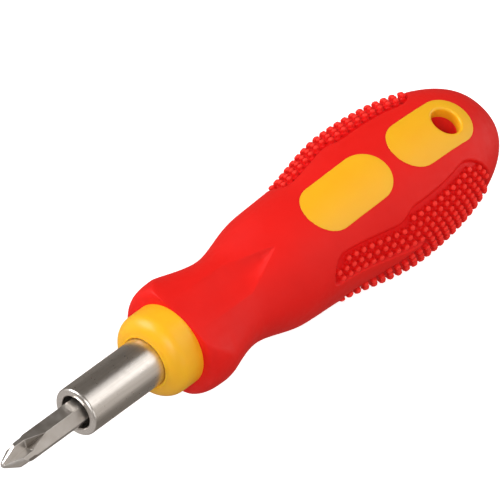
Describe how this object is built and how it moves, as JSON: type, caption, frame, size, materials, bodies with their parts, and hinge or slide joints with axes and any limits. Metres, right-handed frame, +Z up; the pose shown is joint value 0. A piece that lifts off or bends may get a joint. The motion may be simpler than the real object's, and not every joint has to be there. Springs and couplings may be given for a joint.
{
  "type": "pocket screwdriver",
  "caption": "Pocket screwdriver with a reversible square bit in a plated sleeve and a soft studded grip over a hard core with a hang hole.",
  "frame": {"origin": "middle of the tool's length, on the plane that its belly lies on", "axes": "+X along the tool from the tip to the tail, +Z up through the hang hole"},
  "size_m": [0.138, 0.0318, 0.0256],
  "materials": {
    "bit_steel": "satin",
    "plated_sleeve": "satin",
    "inner_steel": "matte",
    "core_plastic": "satin",
    "grip_rubber": "matte"
  },
  "bodies": {
    "handle": {"holder_sleeve": "plated_sleeve", "drive_socket": "inner_steel", "retaining_ring": "inner_steel", "stop_plug": "inner_steel", "handle_core": "core_plastic", "grip_overmould": "grip_rubber"},
    "bit": {"driver_bit": "bit_steel"}
  },
  "joints": [
    {"name": "bit_slide", "type": "slide", "parent": "handle", "child": "bit", "axis": [-1, 0, 0], "range_m": [0, 0.042]}
  ]
}
